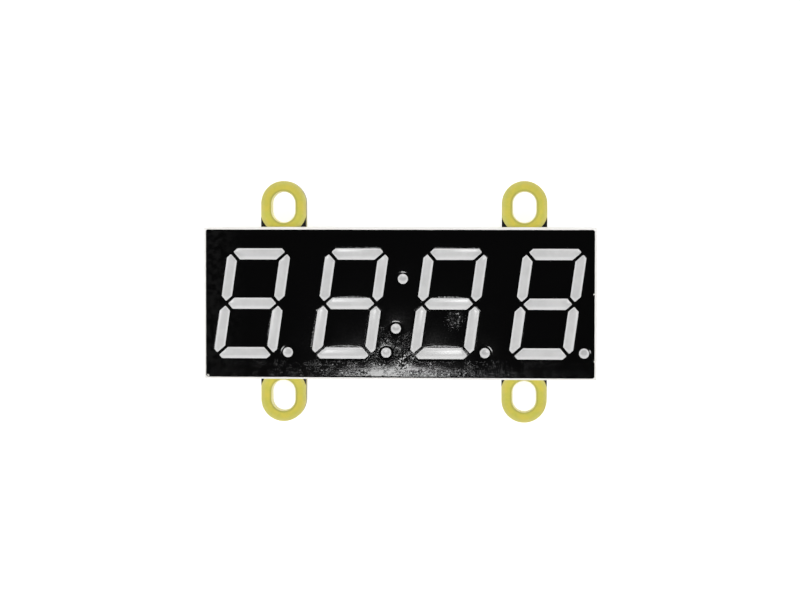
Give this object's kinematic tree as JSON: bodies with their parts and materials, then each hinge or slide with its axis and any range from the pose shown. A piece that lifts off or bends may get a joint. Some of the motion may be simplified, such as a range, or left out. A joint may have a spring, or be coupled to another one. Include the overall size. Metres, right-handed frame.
{
  "type": "seven segment display module",
  "caption": "Flat clock display with a black face, pale slanted digits, colon and decimal points, on a carrier board with slotted gold-ringed lugs.",
  "frame": {"origin": "under the middle of the face, at the level of the driver chip and header base on which the module rests", "axes": "+X along the digits in reading direction, +Y up each digit, +Z out of the face"},
  "size_m": [0.0508, 0.0318, 0.0121],
  "materials": {
    "solder_mask": "semi-gloss black solder mask on glass-fibre board",
    "white_moulding": "satin white moulded plastic",
    "face_ink": "semi-gloss black printing with a fine grain",
    "guide_resin": "milky translucent cast resin",
    "lug_gold": "pale gold plating, slightly dull",
    "led_board": "bare glass-fibre board",
    "led_die": "small LED die",
    "back_resin": "cast resin",
    "tinned_metal": "bright tinned metal",
    "solder": "solder",
    "chip_package": "matt black moulding compound",
    "header_plastic": "black moulded plastic",
    "header_gold": "gold-flashed square pin",
    "capacitor_ceramic": "tan ceramic",
    "resistor_film": "black glazed film"
  },
  "bodies": {
    "root": {"circuit_board": "solder_mask", "display_housing": "white_moulding", "face_ink": "face_ink", "digit_1_segment_a": "guide_resin", "digit_1_segment_b": "guide_resin", "digit_1_segment_c": "guide_resin", "digit_1_segment_d": "guide_resin", "digit_1_segment_e": "guide_resin", "digit_1_segment_f": "guide_resin", "digit_1_segment_g": "guide_resin", "digit_2_segment_a": "guide_resin", "digit_2_segment_b": "guide_resin", "digit_2_segment_c": "guide_resin", "digit_2_segment_d": "guide_resin", "digit_2_segment_e": "guide_resin", "digit_2_segment_f": "guide_resin", "digit_2_segment_g": "guide_resin", "digit_3_segment_a": "guide_resin", "digit_3_segment_b": "guide_resin", "digit_3_segment_c": "guide_resin", "digit_3_segment_d": "guide_resin", "digit_3_segment_e": "guide_resin", "digit_3_segment_f": "guide_resin", "digit_3_segment_g": "guide_resin", "digit_4_segment_a": "guide_resin", "digit_4_segment_b": "guide_resin", "digit_4_segment_c": "guide_resin", "digit_4_segment_d": "guide_resin", "digit_4_segment_e": "guide_resin", "digit_4_segment_f": "guide_resin", "digit_4_segment_g": "guide_resin", "digit_1_point": "guide_resin", "digit_2_point": "guide_resin", "digit_3_point": "guide_resin", "digit_4_point": "guide_resin", "colon_upper": "guide_resin", "colon_lower": "guide_resin", "lug_plating_top_left": "lug_gold", "lug_plating_top_right": "lug_gold", "lug_plating_bottom_left": "lug_gold", "lug_plating_bottom_right": "lug_gold", "led_board": "led_board", "led_dice": "led_die", "back_seal": "back_resin", "display_pins": "tinned_metal", "display_solder": "solder", "driver_chip": "chip_package", "driver_leads": "tinned_metal", "header_base": "header_plastic", "header_pins": "header_gold", "solder_pads": "solder", "capacitor_bodies": "capacitor_ceramic", "capacitor_terminals": "tinned_metal", "resistor_bodies": "resistor_film", "resistor_terminals": "tinned_metal"}
  },
  "joints": []
}
